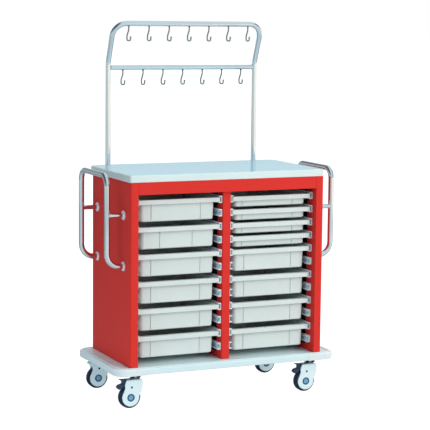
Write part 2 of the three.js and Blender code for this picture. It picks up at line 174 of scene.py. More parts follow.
def hexagon(bm, centre, radius, bottom, top):
    """A chamfered hexagon nut standing on its axis."""
    def outline(inset):
        return [(centre[0] + x, centre[1] + y) for x, y in circle(radius - inset, 6)]
    upright(bm, outline, bottom, top, 0.8, 0.8, 2)


def bent(corners, radii, steps=8):
    """The points of a bent tube: straight runs joined by arcs at the corners."""
    at = [Vector(corner) for corner in corners]
    points = [at[0]]
    for i, radius in enumerate(radii, 1):
        back = (at[i - 1] - at[i]).normalized()
        on = (at[i + 1] - at[i]).normalized()
        half = back.angle(on) / 2
        centre = at[i] + (back + on).normalized() * (radius / math.sin(half))
        spoke = at[i] + back * (radius / math.tan(half)) - centre
        axis = back.cross(on).normalized()
        for step in range(steps + 1):
            turn = Quaternion(axis, -(math.pi - 2 * half) * step / steps)
            points.append(centre + turn @ spoke)
    return points + [at[-1]]


def tube(bm, path, radius, sides=20):
    """A round tube along a path, carried from point to point without twist."""
    rings = []
    last = None
    for i, point in enumerate(path):
        ahead = path[min(i + 1, len(path) - 1)] - path[max(i - 1, 0)]
        ahead.normalize()
        if last is None:
            side = ahead.orthogonal().normalized()
        else:
            side = last.rotation_difference(ahead) @ side
        last = ahead
        other = ahead.cross(side)
        rings.append([point + side * a + other * b for a, b in circle(radius, sides)])
    loft(bm, rings)


def soften(bm, width, segments=2, angle=30):
    """Rounds every edge sharper than an angle."""
    bmesh.ops.remove_doubles(bm, verts=bm.verts, dist=0.02)
    bmesh.ops.recalc_face_normals(bm, faces=bm.faces)
    limit = math.radians(angle)
    sharp = [e for e in bm.edges if len(e.link_faces) == 2 and e.calc_face_angle() > limit]
    bmesh.ops.bevel(
        bm, geom=sharp, offset=width, segments=segments, profile=0.5, affect="EDGES", clamp_overlap=True
    )


def add(bm, other):
    """Puts a second mesh into the first."""
    mesh = bpy.data.meshes.new("part")
    other.to_mesh(mesh)
    other.free()
    bm.from_mesh(mesh)
    bpy.data.meshes.remove(mesh)


def put(name, bm, look, slot, body, *nodes, sharp=35):
    """Makes a finished piece of a mesh: it rides on a body and may stand for CAD nodes."""
    bmesh.ops.remove_doubles(bm, verts=bm.verts, dist=0.02)
    bmesh.ops.recalc_face_normals(bm, faces=bm.faces)
    bm.transform(Matrix.Scale(0.001, 4))
    mesh = bpy.data.meshes.new(name)
    bm.to_mesh(mesh)
    bm.free()
    mesh.materials.append(look)
    mesh.shade_smooth()
    mesh.set_sharp_from_angle(angle=math.radians(sharp))
    piece = bpy.data.objects.new(name, mesh)
    bpy.context.scene.collection.objects.link(piece)
    weighted = piece.modifiers.new("weighted normals", "WEIGHTED_NORMAL")
    weighted.keep_sharp = True
    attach(piece, body)
    if nodes:
        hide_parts(*nodes)
    return piece


# ---------------------------------------------------------------- materials


def srgb(*levels):
    """Linear colour of 0-255 screen levels."""
    shares = [level / 255 for level in levels]
    return tuple(s / 12.92 if s <= 0.04045 else ((s + 0.055) / 1.055) ** 2.4 for s in shares)


def scaled(colour, factor):
    return (*[min(1, c * factor) for c in colour], 1)


def noise(tree, place, scale, detail=3, distortion=0):
    node = tree.nodes.new("ShaderNodeTexNoise")
    node.inputs["Scale"].default_value = scale
    node.inputs["Detail"].default_value = detail
    node.inputs["Distortion"].default_value = distortion
    tree.links.new(place, node.inputs["Vector"])
    return node.outputs["Fac"]


def ramp(tree, value, low, high, start, end):
    """Maps low..high of a value to start..end."""
    node = tree.nodes.new("ShaderNodeMapRange")
    for name, number in zip(("From Min", "From Max", "To Min", "To Max"), (low, high, start, end)):
        node.inputs[name].default_value = number
    tree.links.new(value, node.inputs["Value"])
    return node.outputs["Result"]


def axes(tree, coordinate):
    """The X, Y and Z of a texture coordinate."""
    coordinates = tree.nodes.new("ShaderNodeTexCoord")
    split = tree.nodes.new("ShaderNodeSeparateXYZ")
    tree.links.new(coordinates.outputs[coordinate], split.inputs["Vector"])
    return split.outputs


def slanted(tree, along, slant):
    """The X of some axes plus their Y times the slant."""
    node = tree.nodes.new("ShaderNodeMath")
    node.operation = "MULTIPLY_ADD"
    tree.links.new(along["Y"], node.inputs[0])
    node.inputs[1].default_value = slant
    tree.links.new(along["X"], node.inputs[2])
    return node.outputs["Value"]


def mix(tree, share, first, second):
    """Mixes two colours; first may be a colour or another node's output."""
    node = tree.nodes.new("ShaderNodeMix")
    node.data_type = "RGBA"
    tree.links.new(share, node.inputs["Factor"])
    if isinstance(first, tuple):
        node.inputs["A"].default_value = first
    else:
        tree.links.new(first, node.inputs["A"])
    node.inputs["B"].default_value = second
    return node.outputs["Result"]


def surface(
    name, colour, roughness, shade=0.05, cloud=7, grain=600, bump=0.1, scuff=0.15, uneven=0.2, **more
):
    """A procedural finish over the object's own coordinates in metres.

    shade is how far the colour strays over clouds of scale cloud, bump the strength of a grain of scale
    grain, scuff the strength of pale marks, and uneven how far the roughness strays. More sockets of the
    shader can be set by name."""
    look = bpy.data.materials.new(name)
    look.use_nodes = True
    tree = look.node_tree
    shader = tree.nodes["Principled BSDF"]
    coordinates = tree.nodes.new("ShaderNodeTexCoord")
    place = coordinates.outputs["Object"]
    clouds = ramp(tree, noise(tree, place, cloud, 4), 0.3, 0.7, 0, 1)
    tint = mix(tree, clouds, scaled(colour, 1 - shade), scaled(colour, 1 + shade))
    marks = ramp(tree, noise(tree, place, 45, 9, 1.5), 0.62, 0.74, 0, scuff)
    tint = mix(tree, marks, tint, scaled(colour, 1.5))
    tree.links.new(tint, shader.inputs["Base Color"])
    dull = min(1, roughness * (1 + uneven))
    gloss = ramp(tree, noise(tree, place, 23, 6), 0.3, 0.7, roughness * (1 - uneven), dull)
    tree.links.new(gloss, shader.inputs["Roughness"])
    relief = tree.nodes.new("ShaderNodeBump")
    relief.inputs["Strength"].default_value = bump
    relief.inputs["Distance"].default_value = 0.0004
    tree.links.new(noise(tree, place, grain, 4), relief.inputs["Height"])
    tree.links.new(relief.outputs["Normal"], shader.inputs["Normal"])
    for socket, value in more.items():
        shader.inputs[socket.replace("_", " ").title().replace("Ior", "IOR")].default_value = value
    return look


RED = surface(
    "red powder coat", srgb(217, 55, 49), 0.3, 0.01, 4, 900, 0.02, 0.004, 0.04, specular_ior_level=0.03
)
TOP = surface("glossy worktop laminate", srgb(188, 234, 250), 0.07, 0.012, 5, 500, 0.01, 0.02)
FASCIA = surface("worktop moulding", srgb(214, 227, 225), 0.35, 0.02, 9, 1100, 0.1, 0.04)
BASE = surface("base moulding", srgb(213, 231, 234), 0.38, 0.02, 9, 1100, 0.1, 0.05)
BUMPER = surface("bumper moulding", srgb(220, 228, 230), 0.5, 0.02, 9, 900, 0.15, 0.06)
TRAY = surface("tray plastic", srgb(215, 222, 219), 0.4, 0.02, 8, 900, 0.08, 0.04)
RUNNER = surface("runner plastic", srgb(228, 241, 248), 0.35, 0.03, 9, 900, 0.1, 0.06)
# The black sheets in the bays are painted shade: they stand in for the shade that falls deep inside each
# bay.
SHADE_SHEET = surface("black painted shade sheet", srgb(12, 11, 12), 0.85, 0.2, 9, 700, 0.2, 0.05, specular_ior_level=0.15)
CHROME = surface("polished chrome", srgb(226, 232, 236), 0.07, 0.03, 6, 300, 0.01, 0.03, metallic=1.0)
SATIN = surface("satin chrome", srgb(240, 246, 248), 0.35, 0.03, 6, 300, 0.01, 0.03, metallic=0.5)
HOOK_STEEL = surface("hook steel", srgb(146, 160, 170), 0.2, 0.05, 30, 500, 0.05, 0.05, metallic=1.0)
STEEL = surface("zinc plated steel", srgb(170, 180, 186), 0.3, 0.12, 60, 900, 0.15, 0.2, metallic=1.0)
COVER = surface("caster cover plastic", srgb(223, 240, 244), 0.35, 0.02, 12, 900, 0.08, 0.05)
HUB = surface("hub cap ring", srgb(24, 76, 118), 0.4, 0.06, 30, 900, 0.08, 0.1)
DISH = surface("hub cap centre", srgb(116, 164, 186), 0.6, 0.06, 30, 900, 0.08, 0.1)
TYRE = surface("tyre rubber", srgb(22, 32, 58), 0.65, 0.15, 30, 500, 0.35, 0.25)
PEDAL = surface("pedal plastic", srgb(34, 58, 84), 0.45, 0.1, 30, 600, 0.3, 0.2)
BLACK = surface("black fittings", srgb(12, 13, 16), 0.6, 0.15, 30, 600, 0.2, 0.1, specular_ior_level=0.3)


# ---------------------------------------------------------------- cabinet


def side_panel(name, outward):
    low, high = box(name)
    radii = [10, 1.5, 1.5, 10] if outward < 0 else [1.5, 10, 10, 1.5]
    bm = bmesh.new()
    upright(bm, plan(low, high, radii), low.z, high.z)
    put(name + "_skin", bm, RED, "red_paint", "cart", name)


def back_panel():
    """The back has one shallow pressed field behind each bay, and rivets down its edges and middle."""
    low, high = box("back_panel")
    face, field = high.y, high.y - 3
    steps = [(0, low.y), (0, face - 0.8), (0.8, face), (38, face), (43, field), (46, field)]
    bm = bmesh.new()
    for xs in ((low.x, 0), (0, high.x)):
        rings = []
        for inset, y in steps:
            outline = rounded(xs, (low.z, high.z), [8] * 4 if inset > 30 else [0.5] * 4, min(inset, 6))
            grow = max(0, inset - 6)
            middle = ((xs[0] + xs[1]) / 2, (low.z + high.z) / 2)
            rings.append([
                (x - math.copysign(grow, x - middle[0]), y, z - math.copysign(grow, z - middle[1]))
                for x, z in outline
            ])
        loft(bm, rings)
    put("back_panel_skin", bm, RED, "red_paint", "cart", "back_panel")
    bm = bmesh.new()
    for x in (low.x + 12, 0, high.x - 12):
        for i in range(9):
            z = low.z + 30 + (high.z - low.z - 60) * i / 8
            dome(bm, (x, face - 0.2, z), "y", 3.2, 1.2)
    put("back_panel_rivets", bm, STEEL, "mount_steel", "cart")


def centre_divider():
    low, high = box("centre_divider")
    bm = bmesh.new()
    upright(bm, plan(low, high, [3, 3, 0.5, 0.5]), low.z, high.z)
    put("centre_divider_skin", bm, RED, "red_paint", "cart", "centre_divider")


def front_header():
    low, high = box("front_header")
    sheet = 1.5
    bm = bmesh.new()
    outline = [
        (low.y, low.z), (high.y, low.z), (high.y, low.z + sheet), (low.y + sheet, low.z + sheet),
        (low.y + sheet, high.z - sheet), (high.y, high.z - sheet), (high.y, high.z), (low.y, high.z),
    ]
    prism(bm, outline, "x", low.x, high.x)
    soften(bm, 0.65)
    put("front_header_skin", bm, RED, "red_paint", "cart", "front_header")


def worktop():
    """A moulded edge frame with a glossy sheet let into its top."""
    low, high = box("worktop")
    outline = plan(low, high, [10, 10, 45, 45], 10)
    bm = bmesh.new()
    upright(bm, outline, low.z, high.z - 0.4, 1.5, 3.5, 5)
    put("worktop_edge", bm, FASCIA, "worktop_plastic", "cart", "worktop")
    bm = bmesh.new()
    upright(bm, lambda inset: outline(inset + 4), high.z - 1, high.z, 0.1, 0.35, 3)
    put("worktop_sheet", bm, TOP, "worktop_plastic", "cart")


def bay_shade_sheets():
    """Black sheet across the back of each bay, painted shade: it stands in for the shade that falls deep
    in the bay.
    """
    panel_low, panel_high = box("back_panel")
    divider_low, divider_high = box("centre_divider")
    for name, xs in (
        ("left", (panel_low.x, divider_low.x - 0.5)),
        ("right", (divider_high.x + 0.5, panel_high.x)),
    ):
        bm = bmesh.new()
        block(bm, xs, (panel_low.y - 5, panel_low.y - 3.5), (panel_low.z, panel_high.z))
        soften(bm, 0.3)
        put(f"back_shade_sheet_{name}", bm, SHADE_SHEET, "pedal_plastic", "cart")


# ---------------------------------------------------------------- base and bumpers

BASE_EDGE = 7  # radius of the top edge of the base and its bumpers


def base_plate():
    """One deck with a well rounded top edge and a low bead running round it inside the bumpers."""
    low, high = box("base_plate")
    bm = bmesh.new()
    outline = plan(low, high, [58.5] * 4, 12)
    upright(bm, outline, low.z, high.z, 3, BASE_EDGE, 6)
    bead = [(12.6, -0.3), (13.4, 1.6), (14.6, 2.4), (16.6, 2.4), (17.8, 1.6), (18.6, -0.3), (12.6, -0.3)]
    rings = [[(x, y, high.z + rise) for x, y in outline(inset)] for inset, rise in bead]
    loft(bm, rings, False, False)
    put("base_moulding", bm, BASE, "base_plastic", "cart", "base_plate")


def bumper(place):
    """A soft strip wrapped round a corner of the base, with the base's own rounded top edge."""
    low, high = box(f"bumper_{place}")
    # u runs in from the end face and v from the front or back face, both from the outer corner.
    side_x = -1 if "left" in place else 1
    side_y = -1 if "front" in place else 1
    outer_x = low.x if side_x < 0 else high.x
    outer_y = low.y if side_y < 0 else high.y
    corner, thickness = 60, 12
    profile = [(thickness, low.z), (2, low.z), (0.6, low.z + 0.6), (0, low.z + 2)]
    edge = arc((0, 0), BASE_EDGE, 0, 90, 6)
    profile += [(BASE_EDGE - x, high.z - BASE_EDGE + y) for x, y in edge]
    profile += [(thickness, high.z)]
    rings = []
    stations = [(high.x - low.x, None)] + [(None, a) for a in range(270, 179, -9)] + [(None, None)]
    for along, angle in stations:
        ring = []
        for inset, z in profile:
            if along is not None:
                u, v = along, inset
            elif angle is not None:
                u, v = arc((corner, corner), corner - inset, angle, angle, 1)[0]
            else:
                u, v = inset, high.y - low.y
            ring.append((outer_x - side_x * u, outer_y - side_y * v, z))
        rings.append(ring)
    bm = bmesh.new()
    loft(bm, rings)
    soften(bm, 0.5, angle=60)
    put(f"bumper_strip_{place}", bm, BUMPER, "bumper_plastic", "cart", f"bumper_{place}")


# ---------------------------------------------------------------- runners and trays

LEVELS = 12
TOP_LEVEL = box("tray_left_1")[1].z
PITCH = (TOP_LEVEL - box("tray_left_2")[1].z) / 2
RIM = 20  # height of a tray's rim
DRAFT = 0.03  # how far a tray's walls lean in, per height
FRONT_INSET = 22  # from the front of the rim back to the tray's body
SIDE_INSET = 20
DEEP = 75  # a tray higher than this is a deep one
# Where the ribs stand on a tray's front, across from its middle.
DEEP_RIBS = (-126, 112)
SHALLOW_RIBS = (-139, 115)
FOUR_RIBS = (-171, -164, -84, 73)


def runner_rack(node, into):
    """Twelve channels screwed to a bay wall, with a black sheet on the wall behind them from 51 mm back:
    painted shade, standing in for the shade deep in the bay.
    """
    low, high = box(node)
    wall = low.x if into > 0 else high.x
    channels, screws = bmesh.new(), bmesh.new()
    for level in range(LEVELS):
        top = TOP_LEVEL - level * PITCH + 2
        shelf = TOP_LEVEL - level * PITCH - RIM - 0.3
        outline = [(0, shelf - 5), (15, shelf - 5), (15, shelf), (4, shelf)]
        outline += [(4, top), (15, top), (15, top + 5), (0, top + 5)]
        prism(channels, [(wall + into * u, z) for u, z in outline], "y", low.y, high.y)
        for y in (low.y + 16, high.y - 40):
            head = [(0, -0.5), (3.4, -0.5), (3.2, 0.7), (1.6, 1.1), (1.5, 0.4), (0, 0.4)]
            centre = (wall + into * 4, y, (top + shelf) / 2)
            lathe(screws, facing(head, into), "x", centre, 12)
    soften(channels, 1.1)
    put(node + "_channels", channels, RUNNER, "runner_plastic", "cart", node)
    put(node + "_screws", screws, BLACK, "mount_steel", "cart")
    # A black sheet on the bay wall from 51 mm behind the front: painted shade, standing in for the shade
    # deep in the bay.
    shade_sheet = bmesh.new()
    xs = sorted((wall, wall + into * 1.2))
    block(shade_sheet, xs, (low.y + 51, high.y), (low.z, high.z))
    soften(shade_sheet, 0.3)
    put(node + "_shade_sheet", shade_sheet, SHADE_SHEET, "pedal_plastic", "cart")


def tray_rings(low, high):
    """Rings of (inset at the sides, inset at the front, corner radius, height).

    They run from the outside of the bottom out over the rim and down to the inside of the bottom."""
    top, bottom = high.z, low.z
    def body(grow, z, wall=0):
        draft = (top - z) * DRAFT
        return (SIDE_INSET + draft + grow + wall, FRONT_INSET + draft + grow + wall, 16 - grow - wall, z)
    fillet = [math.pi / 2 * i / 5 for i in range(6)]
    rings = [body(7 * (1 - math.sin(a)), bottom + 7 * (1 - math.cos(a))) for a in fillet]
    rings += [body(0, top - 19), body(0, top - 4)]
    rim = [(2.2, top - 4), (2.2, top - RIM), (0.5, top - RIM), (0, top - RIM + 0.6)]
    for groove in (13.5, 7):
        rim += [(0, top - groove - 0.9), (0.6, top - groove - 0.4)]
        rim += [(0.6, top - groove + 0.4), (0, top - groove + 0.9)]
    rim += [(0, top - 1.6), (0.5, top - 0.5), (1.6, top)]
    rings += [(inset, inset, 8 - inset, z) for inset, z in rim]
    rings += [body(-2, top, 3), body(-0.5, top - 0.6, 3), body(0, top - 2, 3)]
    rings += [body(5 * (1 - math.cos(a)), bottom + 3 + 5 * (1 - math.sin(a)), 3) for a in fillet]
    return rings


def tray(name, ribs):
    """One moulded tray: a hollow grooved rim over a drafted body with upright ribs on its front."""
    low, high = box(name)
    bm = bmesh.new()
    rings = []
    for side, front, radius, z in tray_rings(low, high):
        xs = (low.x + side, high.x - side)
        ys = (low.y + front, high.y - side)
        rings.append([(x, y, z) for x, y in rounded(xs, ys, [radius] * 4, 0, 7)])
    loft(bm, rings)
    middle = (low.x + high.x) / 2
    for rib in ribs:
        ends = []
        for z in (low.z + 7, high.z - 18):
            face = low.y + FRONT_INSET + (high.z - z) * DRAFT
            spots = ((-1.8, 0.6), (1.8, 0.6), (1.3, -3.6), (-1.3, -3.6))
            ends.append([(middle + rib + x, face + y, z) for x, y in spots])
        loft(bm, ends)
    put(name + "_moulding", bm, TRAY, "tray_plastic", name, name)


def trays_and_runners():
    for node in frame["nodes"]:
        if not node.startswith("tray_"):
            continue
        low, high = box(node)
        ribs = DEEP_RIBS if high.z - low.z > DEEP else SHALLOW_RIBS
        tray(node, FOUR_RIBS if node == "tray_left_2" else ribs)
    for node, into in (("left_outer", 1), ("left_inner", -1), ("right_inner", 1), ("right_outer", -1)):
        runner_rack("runner_rack_" + node, into)


# ---------------------------------------------------------------- handles


def handle(name, side):
    """A bent tube with two feet and two stubs, each run into a round flange on the panel."""
    low, high = box(name)
    tube_radius, stub_radius, flange, stub_rise = 12.5, 10, 21, 227
    foot_bend, top_bend = 60, 47
    panel = high.x if side < 0 else low.x
    plane = (low.x + tube_radius) if side < 0 else (high.x - tube_radius)
    front, back = low.y + flange, high.y - flange
    foot, top = low.z + flange, high.z - tube_radius
    stub = foot + stub_rise
    corners = [(panel, front, foot), (plane, front, foot), (plane, front, top)]
    corners += [(plane, back, top), (plane, back, foot), (panel, back, foot)]
    bm, fittings = bmesh.new(), bmesh.new()
    tube(bm, bent(corners, [foot_bend, top_bend, top_bend, foot_bend], 12), tube_radius, 28)
    rosette = [(0, 0), (20.4, 0), (21, 0.6), (21, 4.4), (20, 5.6), (13, 5.8)]
    reach = abs(plane - panel)
    neck = [(0, 2), (stub_radius, 2), (stub_radius, reach - 11), (stub_radius + 1.2, reach - 9)]
    neck += [(stub_radius + 1.2, reach - 4), (0, reach - 4)]
    for y in (front, back):
        for z, radius in ((foot, tube_radius), (stub, stub_radius)):
            collar = [(radius + 1.8, 5.8), (radius + 1, 7.4), (radius - 1, 8), (0, 8)]
            lathe(fittings, facing(rosette + collar, side), "x", (panel, y, z), 36)
        lathe(bm, facing(neck, side), "x", (panel, y, stub), 24)
    put(name + "_tube", bm, CHROME, "chrome", "cart", name)
    put(name + "_fittings", fittings, SATIN, "chrome", "cart", name)


# ---------------------------------------------------------------- hanger frame and hooks

# Each hook and the number that sets how far it hangs turned.
HOOKS = {f"hook_upper_{i + 1}": i for i in range(7)}
HOOKS.update({f"hook_lower_{i + 1}": i + 8 for i in range(7)})


def hanger():
    """A leaning hoop on two posts with a lower bar welded between them, end plugs and hook eyelets."""
    low, high = box("hanger_frame")
    radius, bar, lean = 12, 11, math.radians(22)
    knee_bend, top_bend = 70, 65
    x = high.x - radius
    back = high.y - radius
    upper = joint_place("hook_upper_4_swivel")
    lower = joint_place("hook_lower_4_swivel")
    top = high.z - radius
    knee = top - (back - upper.y) / math.tan(lean)
    corners = [(-x, back, low.z), (-x, back, knee), (-x, upper.y, top)]
    corners += [(x, upper.y, top), (x, back, knee), (x, back, low.z)]
    bm = bmesh.new()
    tube(bm, bent(corners, [knee_bend, top_bend, top_bend, knee_bend], 12), radius, 28)
    bar_z = lower.z + 4.3 + bar
    weld = [(bar, 11), (bar + 0.9, 12.2), (bar + 0.7, 14), (bar, 15.5)]
    profile = [(0, -x)] + [(r, a - x) for r, a in weld]
    profile += [(r, x - a) for r, a in reversed(weld)] + [(0, x)]
    lathe(bm, profile, "x", (0, back, bar_z), 28)
    put("hanger_tubes", bm, CHROME, "chrome", "cart", "hanger_frame")
    bm = bmesh.new()
    for side in (-1, 1):
        plug = [(0, -5), (9, -5), (11.6, -3.5), (11.6, -0.2), (10, 3), (0, 3)]
        lathe(bm, plug, "z", (side * x, back, low.z), 24)
    eyelet = [(0, -0.1), (2.6, -0.1), (3.9, 0.8), (4.1, 3), (3.6, 7.2), (0, 7.2)]
    for name in HOOKS:
        spot = joint_place(name + "_swivel")
        lathe(bm, eyelet, "z", (spot.x, spot.y, spot.z + 0.3), 16)
    put("hanger_plugs_and_eyelets", bm, BLACK, "pedal_plastic", "cart")


def hanger_brackets():
    """Two brackets from each post to the back panel, with their screws."""
    low, high = box("hanger_frame")
    panel = box("back_panel")[1].y
    x, back = high.x - 12, high.y - 12
    bm, screws = bmesh.new(), bmesh.new()
    for side in (-1, 1):
        for z in (low.z + 40, low.z + 220):
            part = bmesh.new()
            block(part, (side * x - 11, side * x + 11), (panel + 2, back - 6), (z, z + 34))
            block(part, (side * x - 15, side * x + 15), (panel + 0.3, panel + 3.3), (z - 16, z + 50))
            saddle = [(-14.5, -10), (14.5, -10), (14.5, 2), (11.5, 8), (-11.5, 8), (-14.5, 2)]
            prism(part, [(side * x + a, back + b) for a, b in saddle], "z", z + 3, z + 31)
            soften(part, 1, 2)
            add(bm, part)
            for screw in (z - 9, z + 43):
                dome(screws, (side * x, panel + 3.2, screw), "y", 4, 2.2)
    put("hanger_bracket_blocks", bm, STEEL, "mount_steel", "cart")
    put("hanger_bracket_screws", screws, BLACK, "mount_steel", "cart")


def hook(name, number):
    """A wire hook with a ball tip, which hangs turned by -26 to 2 degrees."""
    spot = joint_place(name + "_swivel")
    turn = math.radians(-12 + 14 * math.sin(number * 2.3))
    corners = [(0, 0, -0.2), (0, 0, -15), (-8, 0, -42), (-8, 0, -64), (8, 0, -64), (9, 0, -44)]
    bm = bmesh.new()
    tube(bm, bent(corners, [7, 9, 7.9, 7.2], 8), 3.3, 14)
    ball = [(0, -4), (2.3, -3.3), (3.6, -1.7), (4, 0), (3.6, 1.7), (2.3, 3.3), (0, 4)]
    lathe(bm, ball, "z", (9, 0, -47.6), 14)
    lathe(bm, [(0, -2.4), (3.4, -2.4), (3.8, -1.6), (3.8, -0.4), (0, -0.4)], "z", (0, 0, 0), 14)
    bm.transform(Matrix.Translation(spot) @ Matrix.Rotation(turn, 4, "Z"))
    put(name + "_wire", bm, HOOK_STEEL, "chrome", name, name)


def hanger_and_hooks():
    hanger()
    hanger_brackets()
    for name, number in HOOKS.items():
        hook(name, number)


# ---------------------------------------------------------------- casters

HALF = 23  # half the width of a caster's housing
GAP_HALF = 16.5  # half the width of the space for the wheel
WHEEL_SPACE = 52.5  # radius of that space
# The trailing edge of a cover, from the roof down to the disc over the wheel, with and without a brake.
HEELS = {
    True: [(-8, 79), (-20, 78), (-27, 58), (-26, 42)],
    False: [(-8, 79), (-34, 76), (-42, 70), (-40, 64), (-29, 57), (-26, 42)],
}


def caster_mount(place):
    """A bolted plate, a ball race under it and the nuts of the swivel."""
    node = f"caster_mount_{place}"
    low, high = box(node)
    middle = (low + high) / 2
    bm, dark = bmesh.new(), bmesh.new()
    upright(bm, plan(low, high, [8] * 4), high.z - 4, high.z)
    disc = [(0, low.z), (21, low.z), (22.5, low.z + 1.2), (22.5, low.z + 4)]
    disc += [(20, low.z + 5.5), (15, low.z + 6)]
    neck = [(15, high.z - 10), (19, high.z - 8), (20, high.z - 3), (0, high.z - 3)]
    lathe(bm, disc + neck, "z", (middle.x, middle.y, 0), 32)
    put(f"caster_plate_{place}", bm, STEEL, "mount_steel", "cart", node)
    for x in (-14, 14):
        for y in (-17, 17):
            hexagon(dark, (middle.x + x, middle.y + y), 7.6, low.z + 8, high.z - 3.5)
    for x in (-29, 29):
        for y in (-29, 29):
            hexagon(dark, (middle.x + x, middle.y + y), 5, high.z - 7.5, high.z - 3.5)
    put(f"caster_nuts_{place}", dark, BLACK, "mount_steel", "cart")


def cover_outline(braked):
    """The side of a caster: a disc over the wheel that runs up into a hood."""
    points = HEELS[braked] + arc((0, 0), 40, 145, 365, 30)
    return points + [(55, 38)] + arc((49, 71), 8, 0, 90, 4)


def hood_outline(braked):
    """The roof between the two covers, hollowed round the wheel."""
    front = [(-8, 79), (49, 79), (57, 71), (55, 38), (47.8, 21.6)]
    if braked:
        return front + arc((0, 0), WHEEL_SPACE, 24.5, 98.8, 12)
    heel = [(-28.6, 57.5), (-39.5, 64.5), (-41.5, 70), (-34, 75.7)]
    return front + arc((0, 0), WHEEL_SPACE, 24.5, 112, 14) + heel


def housing(place, braked):
    """Two covers with a raised middle, the roof between them and the axle."""
    body = f"swivel_housing_{place}"
    hub = joint_place(f"wheel_{place}_spin")
    bm = bmesh.new()
    for side in (-1, 1):
        part = bmesh.new()
        outline = [(hub.x + x, hub.z + z) for x, z in cover_outline(braked)]
        rows = prism(part, outline, "y", hub.y + side * GAP_HALF, hub.y + side * (HALF - 1.4))
        face = [f for f in part.faces if all(v in f.verts for v in rows[1])]
        bmesh.ops.inset_region(part, faces=face, thickness=4.5, depth=0, use_even_offset=True)
        bmesh.ops.inset_region(part, faces=face, thickness=1.6, depth=0, use_even_offset=True)
        bmesh.ops.translate(part, verts=face[0].verts, vec=(0, side * 1.4, 0))
        soften(part, 1.1, 3, 35)
        add(bm, part)
    part = bmesh.new()
    outline = [(hub.x + x, hub.z + z) for x, z in hood_outline(braked)]
    prism(part, outline, "y", hub.y - GAP_HALF - 0.5, hub.y + GAP_HALF + 0.5)
    add(bm, part)
    axle_end = GAP_HALF + 1
    lathe(bm, [(0, -axle_end), (6, -axle_end), (6, axle_end), (0, axle_end)], "y", hub, 20)
    put(f"housing_{place}", bm, COVER, "caster_plastic", body, body)


def hub_caps(place, braked):
    """A blue ring with a plain dish in it on either side, and the dark screw heads of the covers."""
    body = f"swivel_housing_{place}"
    hub = joint_place(f"wheel_{place}_spin")
    rings, dishes, dots = bmesh.new(), bmesh.new(), bmesh.new()
    for side in (-1, 1):
        face = (hub.x, hub.y + side * (HALF - 0.6), hub.z)
        ring = [(17.4, 0), (17.4, 1.2), (16.4, 2.1), (12.2, 2.1), (11.2, 1), (11.2, 0), (17.4, 0)]
        lathe(rings, facing(ring, side), "y", face, 36)
        dish = [(11.4, 0), (11.4, 1), (9.4, 1.1), (8.8, 0.7), (5.2, 0.7), (4.8, 1), (0, 1)]
        lathe(dishes, facing(dish, side), "y", face, 36)
        spots = [(4, 46, 4.8)] + ([(-15, 71, 4.4)] if braked else [])
        for x, z, radius in spots:
            centre = (hub.x + x, hub.y + side * (HALF - (0.5 if z < 60 else 1.6)), hub.z + z)
            head = [(radius, 0), (radius, 0.8), (radius * 0.6, 1), (radius * 0.5, 0.7), (0, 0.7)]
            lathe(dots, facing(head, side), "y", centre, 18)
    put(f"hub_rings_{place}", rings, HUB, "pedal_plastic", body)
    put(f"hub_dishes_{place}", dishes, DISH, "pedal_plastic", body)
    put(f"cover_screws_{place}", dots, BLACK, "pedal_plastic", body)


def wheel(place):
    """A solid rubber tyre on a moulded core."""
    body = f"wheel_{place}"
    hub = joint_place(f"wheel_{place}_spin")
    half = 15
    bm = bmesh.new()
    shoulder = arc((43, half - 7), 7, 90, 0, 6)
    crown = [(50, 0)]
    outer = [(36, half - 1.5), (38, half - 0.2)] + [(r, a) for r, a in shoulder] + crown
    outer += [(r, -a) for r, a in reversed(shoulder)] + [(38, 0.2 - half), (36, 1.5 - half)]
    lathe(bm, outer + [outer[0]], "y", hub, 56)
    put(f"tyre_{place}", bm, TYRE, "tyre_rubber", body, body)
    bm = bmesh.new()
    rim = [(36.4, 12), (34, 12.6), (31, 11), (29, 5), (14, 4), (12, 12), (7, 12)]
    core = rim + [(r, -a) for r, a in reversed(rim)]
    lathe(bm, core + [core[0]], "y", hub, 48)
    put(f"wheel_core_{place}", bm, COVER, "caster_plastic", body)


def brake_pedal(place):
    """A lever with an upper release tab and a ridged foot pad below it."""
    body = f"brake_pedal_{place}"
    hub = joint_place(f"wheel_{place}_spin")
    outline = [
        (-10, 78), (-20, 80), (-46, 82), (-47, 79.3), (-34, 75), (-34, 61), (-53, 56), (-60, 46),
        (-52, 37), (-36, 42), (-27, 52), (-20, 64), (-12, 66), (-9, 71),
    ]
    bm = bmesh.new()
    prism(bm, [(hub.x + x, hub.z + z) for x, z in outline], "y", hub.y - 13, hub.y + 13)
    soften(bm, 1.2, 2)
    for i in range(4):
        x, z = hub.x - 37.5 - 4.2 * i, hub.z + 60.1 - 1.1 * i
        ridge = [(x - 1.4, z - 1.5), (x + 1.4, z - 1), (x, z + 0.9)]
        prism(bm, ridge, "y", hub.y - 11, hub.y + 11)
    put(f"pedal_{place}", bm, PEDAL, "pedal_plastic", body, body)


def casters():
    for place in PLACES:
        braked = "front" in place
        caster_mount(place)
        housing(place, braked)
        hub_caps(place, braked)
        wheel(place)
        if braked:
            brake_pedal(place)


# ---------------------------------------------------------------- studio


